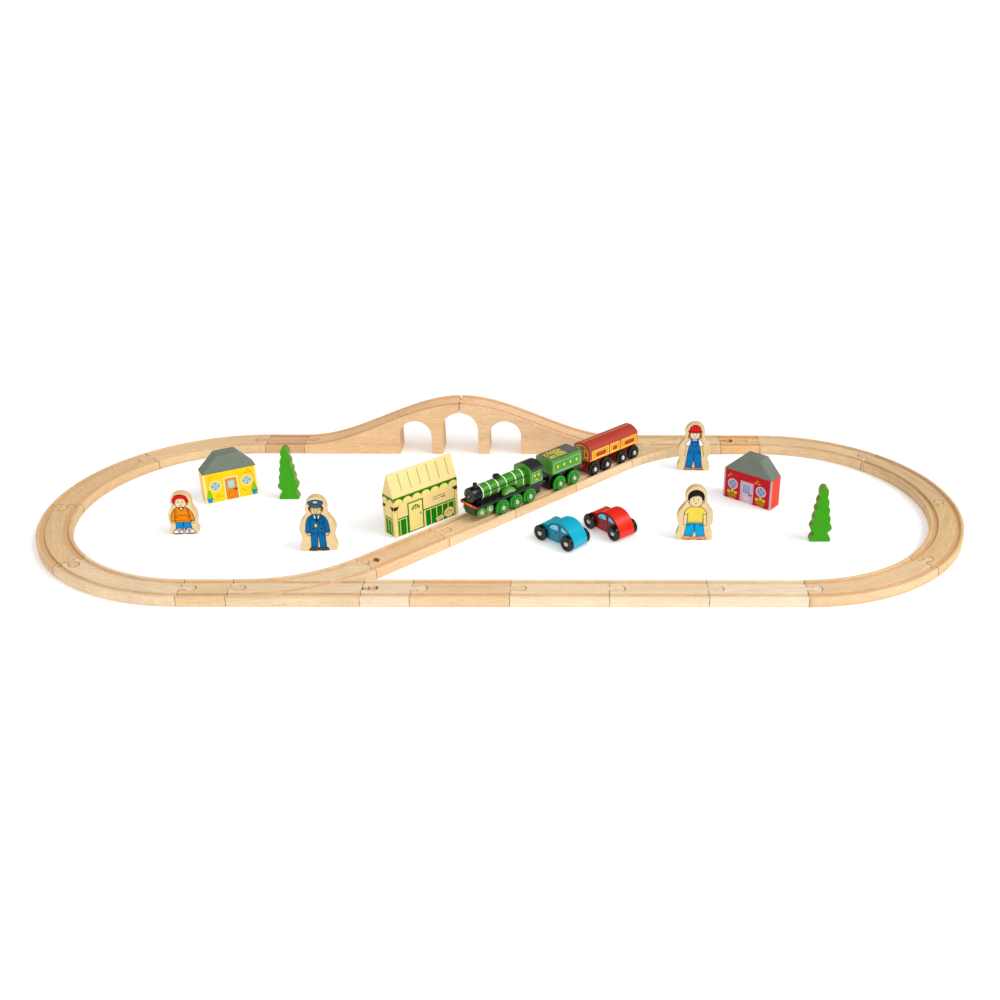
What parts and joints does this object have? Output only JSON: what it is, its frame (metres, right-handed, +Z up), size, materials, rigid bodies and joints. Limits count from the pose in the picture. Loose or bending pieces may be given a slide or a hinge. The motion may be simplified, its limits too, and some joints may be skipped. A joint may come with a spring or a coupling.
{
  "type": "wooden train set",
  "caption": "Wooden toy railway: oval loop of grooved track with switches, a diagonal link and an arched bridge, plus a steam train, cars, houses, a station, trees and flat figures.",
  "frame": {"origin": "centre of the track loop, on the ground", "axes": "+X along the straights towards the right end, +Y from the front straight to the bridge, +Z up"},
  "size_m": [1.128, 0.444, 0.0795],
  "materials": {
    "beech": "satin",
    "painted_black": "satin",
    "painted_green": "satin",
    "green_plastic": "gloss",
    "painted_maroon": "satin",
    "black_plastic": "gloss",
    "painted_blue": "satin",
    "painted_red": "satin",
    "printed_wood": "satin",
    "painted_cream": "satin",
    "painted_brick": "satin",
    "painted_leaf": "satin"
  },
  "bodies": {
    "track": {"track_curve_left_1": "beech", "track_curve_left_2": "beech", "track_curve_left_3": "beech", "track_curve_left_4": "beech", "track_curve_right_1": "beech", "track_curve_right_2": "beech", "track_curve_right_3": "beech", "track_curve_right_4": "beech", "track_short_front_left": "beech", "track_short_front_mid": "beech", "track_short_back_left": "beech", "track_short_back_right": "beech", "track_straight_front_1": "beech", "track_straight_front_2": "beech", "track_straight_front_3": "beech", "track_straight_front_4": "beech", "track_switch_front": "beech", "track_switch_back": "beech", "bridge_left": "beech", "bridge_right": "beech", "track_diagonal_1": "beech", "track_diagonal_2": "beech", "track_diagonal_3": "beech", "track_diagonal_4": "beech"},
    "loco": {"loco_chassis": "painted_black", "loco_boiler": "painted_green", "loco_chimney_and_dome": "painted_black", "loco_cab": "painted_green"},
    "tender": {"tender_chassis": "painted_black", "tender_body": "painted_green"},
    "coach": {"coach_body": "painted_maroon"},
    "car_blue": {"car_blue_body": "painted_blue"},
    "car_red": {"car_red_body": "painted_red"},
    "loco_bogie": {"loco_bogie": "green_plastic"},
    "loco_bogie_wheels_1": {"loco_bogie_wheels_1": "green_plastic"},
    "loco_bogie_wheels_2": {"loco_bogie_wheels_2": "green_plastic"},
    "loco_drive_wheels_1": {"loco_drive_wheels_1": "green_plastic"},
    "loco_drive_wheels_2": {"loco_drive_wheels_2": "green_plastic"},
    "loco_drive_wheels_3": {"loco_drive_wheels_3": "green_plastic"},
    "tender_wheels_1": {"tender_wheels_1": "green_plastic"},
    "tender_wheels_2": {"tender_wheels_2": "green_plastic"},
    "coach_bogie_front": {"coach_bogie_front": "painted_maroon"},
    "coach_bogie_rear": {"coach_bogie_rear": "painted_maroon"},
    "coach_wheels_1": {"coach_wheels_1": "black_plastic"},
    "coach_wheels_2": {"coach_wheels_2": "black_plastic"},
    "coach_wheels_3": {"coach_wheels_3": "black_plastic"},
    "coach_wheels_4": {"coach_wheels_4": "black_plastic"},
    "car_blue_wheels_front": {"car_blue_wheels_front": "black_plastic"},
    "car_blue_wheels_rear": {"car_blue_wheels_rear": "black_plastic"},
    "car_red_wheels_front": {"car_red_wheels_front": "black_plastic"},
    "car_red_wheels_rear": {"car_red_wheels_rear": "black_plastic"},
    "figure_child_orange": {"figure_child_orange": "printed_wood"},
    "figure_conductor": {"figure_conductor": "printed_wood"},
    "figure_child_hard_hat": {"figure_child_hard_hat": "printed_wood"},
    "figure_child_yellow": {"figure_child_yellow": "printed_wood"},
    "house_yellow": {"house_yellow": "painted_cream"},
    "house_red": {"house_red": "painted_brick"},
    "station_building": {"station_building": "painted_cream"},
    "tree_left": {"tree_left": "painted_leaf"},
    "tree_right": {"tree_right": "painted_leaf"}
  },
  "joints": [
    {"name": "train_roll", "type": "slide", "parent": "track", "child": "loco", "axis": [-0.7071, -0.7071, 0], "range_m": [0, 0.12]},
    {"name": "tender_roll", "type": "slide", "parent": "track", "child": "tender", "axis": [-0.7071, -0.7071, 0], "range_m": [0, 0.12]},
    {"name": "coach_roll", "type": "slide", "parent": "track", "child": "coach", "axis": [-0.7071, -0.7071, 0], "range_m": [0, 0.12]},
    {"name": "loco_drive_wheels_1_spin", "type": "hinge", "parent": "loco", "child": "loco_drive_wheels_1", "pos_m": [-0.01117, -0.01117, 0.01953], "axis": [0.7071, -0.7071, 0], "range_deg": [-5, 660]},
    {"name": "loco_drive_wheels_2_spin", "type": "hinge", "parent": "loco", "child": "loco_drive_wheels_2", "pos_m": [0.00467, 0.00467, 0.01953], "axis": [0.7071, -0.7071, 0], "range_deg": [-5, 660]},
    {"name": "loco_drive_wheels_3_spin", "type": "hinge", "parent": "loco", "child": "loco_drive_wheels_3", "pos_m": [0.02051, 0.02051, 0.01953], "axis": [0.7071, -0.7071, 0], "range_deg": [-5, 660]},
    {"name": "tender_wheels_1_spin", "type": "hinge", "parent": "tender", "child": "tender_wheels_1", "pos_m": [0.05728, 0.05728, 0.01953], "axis": [0.7071, -0.7071, 0], "range_deg": [-5, 660]},
    {"name": "tender_wheels_2_spin", "type": "hinge", "parent": "tender", "child": "tender_wheels_2", "pos_m": [0.07495, 0.07495, 0.01953], "axis": [0.7071, -0.7071, 0], "range_deg": [-5, 660]},
    {"name": "loco_bogie_swivel", "type": "hinge", "parent": "loco", "child": "loco_bogie", "pos_m": [-0.03012, -0.03012, 0.031], "axis": [0, 0, 1], "range_deg": [-10, 10]},
    {"name": "loco_bogie_wheels_1_spin", "type": "hinge", "parent": "loco_bogie", "child": "loco_bogie_wheels_1", "pos_m": [-0.03465, -0.03465, 0.0244], "axis": [0.7071, -0.7071, 0], "continuous": true},
    {"name": "loco_bogie_wheels_2_spin", "type": "hinge", "parent": "loco_bogie", "child": "loco_bogie_wheels_2", "pos_m": [-0.0256, -0.0256, 0.0244], "axis": [0.7071, -0.7071, 0], "continuous": true},
    {"name": "coach_bogie_front_swivel", "type": "hinge", "parent": "coach", "child": "coach_bogie_front", "pos_m": [0.11013, 0.11013, 0.032], "axis": [0, 0, 1], "range_deg": [-4, 4]},
    {"name": "coach_bogie_rear_swivel", "type": "hinge", "parent": "coach", "child": "coach_bogie_rear", "pos_m": [0.14743, 0.14743, 0.032], "axis": [0, 0, 1], "range_deg": [-4, 1.5]},
    {"name": "coach_wheels_1_spin", "type": "hinge", "parent": "coach_bogie_front", "child": "coach_wheels_1", "pos_m": [0.10207, 0.10207, 0.01903], "axis": [0.7071, -0.7071, 0], "range_deg": [-5, 693]},
    {"name": "coach_wheels_2_spin", "type": "hinge", "parent": "coach_bogie_front", "child": "coach_wheels_2", "pos_m": [0.11819, 0.11819, 0.01903], "axis": [0.7071, -0.7071, 0], "range_deg": [-5, 693]},
    {"name": "coach_wheels_3_spin", "type": "hinge", "parent": "coach_bogie_rear", "child": "coach_wheels_3", "pos_m": [0.13937, 0.13937, 0.01903], "axis": [0.7071, -0.7071, 0], "range_deg": [-5, 693]},
    {"name": "coach_wheels_4_spin", "type": "hinge", "parent": "coach_bogie_rear", "child": "coach_wheels_4", "pos_m": [0.15549, 0.15549, 0.01903], "axis": [0.7071, -0.7071, 0], "range_deg": [-5, 693]},
    {"name": "car_blue_roll", "type": "slide", "parent": "track", "child": "car_blue", "axis": [-0.7547, 0.6561, 0], "range_m": [-0.05, 0.045]},
    {"name": "car_blue_wheels_front_spin", "type": "hinge", "parent": "car_blue", "child": "car_blue_wheels_front", "pos_m": [0.0562, -0.05755, 0.00982], "axis": [-0.6561, -0.7547, 0], "range_deg": [-300, 275]},
    {"name": "car_blue_wheels_rear_spin", "type": "hinge", "parent": "car_blue", "child": "car_blue_wheels_rear", "pos_m": [0.0879, -0.0851, 0.00982], "axis": [-0.6561, -0.7547, 0], "range_deg": [-300, 275]},
    {"name": "car_red_roll", "type": "slide", "parent": "track", "child": "car_red", "axis": [-0.6717, 0.7408, 0], "range_m": [-0.05, 0.045]},
    {"name": "car_red_wheels_front_spin", "type": "hinge", "parent": "car_red", "child": "car_red_wheels_front", "pos_m": [0.11609, -0.02889, 0.00982], "axis": [-0.7408, -0.6717, 0], "range_deg": [-300, 275]},
    {"name": "car_red_wheels_rear_spin", "type": "hinge", "parent": "car_red", "child": "car_red_wheels_rear", "pos_m": [0.1443, -0.06, 0.00982], "axis": [-0.7408, -0.6717, 0], "range_deg": [-300, 275]},
    {"name": "figure_child_orange_lift", "type": "slide", "parent": "track", "child": "figure_child_orange", "axis": [0, 0, 1], "range_m": [0, 0.06]},
    {"name": "figure_conductor_lift", "type": "slide", "parent": "track", "child": "figure_conductor", "axis": [0, 0, 1], "range_m": [0, 0.06]},
    {"name": "figure_child_hard_hat_lift", "type": "slide", "parent": "track", "child": "figure_child_hard_hat", "axis": [0, 0, 1], "range_m": [0, 0.06]},
    {"name": "figure_child_yellow_lift", "type": "slide", "parent": "track", "child": "figure_child_yellow", "axis": [0, 0, 1], "range_m": [0, 0.06]},
    {"name": "house_yellow_lift", "type": "slide", "parent": "track", "child": "house_yellow", "axis": [0, 0, 1], "range_m": [0, 0.06]},
    {"name": "house_red_lift", "type": "slide", "parent": "track", "child": "house_red", "axis": [0, 0, 1], "range_m": [0, 0.06]},
    {"name": "station_building_lift", "type": "slide", "parent": "track", "child": "station_building", "axis": [0, 0, 1], "range_m": [0, 0.06]},
    {"name": "tree_left_lift", "type": "slide", "parent": "track", "child": "tree_left", "axis": [0, 0, 1], "range_m": [0, 0.06]},
    {"name": "tree_right_lift", "type": "slide", "parent": "track", "child": "tree_right", "axis": [0, 0, 1], "range_m": [0, 0.06]}
  ],
  "couplings": [
    {"joint": "tender_roll", "follows": "train_roll", "ratio": 1},
    {"joint": "coach_roll", "follows": "train_roll", "ratio": 1},
    {"joint": "loco_drive_wheels_1_spin", "follows": "train_roll", "rad_per_m": 95.238},
    {"joint": "loco_drive_wheels_2_spin", "follows": "train_roll", "rad_per_m": 95.238},
    {"joint": "loco_drive_wheels_3_spin", "follows": "train_roll", "rad_per_m": 95.238},
    {"joint": "tender_wheels_1_spin", "follows": "train_roll", "rad_per_m": 95.238},
    {"joint": "tender_wheels_2_spin", "follows": "train_roll", "rad_per_m": 95.238},
    {"joint": "coach_wheels_1_spin", "follows": "train_roll", "rad_per_m": 100},
    {"joint": "coach_wheels_2_spin", "follows": "train_roll", "rad_per_m": 100},
    {"joint": "coach_wheels_3_spin", "follows": "train_roll", "rad_per_m": 100},
    {"joint": "coach_wheels_4_spin", "follows": "train_roll", "rad_per_m": 100},
    {"joint": "car_blue_wheels_front_spin", "follows": "car_blue_roll", "rad_per_m": 102.04},
    {"joint": "car_blue_wheels_rear_spin", "follows": "car_blue_roll", "rad_per_m": 102.04},
    {"joint": "car_red_wheels_front_spin", "follows": "car_red_roll", "rad_per_m": 102.04},
    {"joint": "car_red_wheels_rear_spin", "follows": "car_red_roll", "rad_per_m": 102.04}
  ]
}
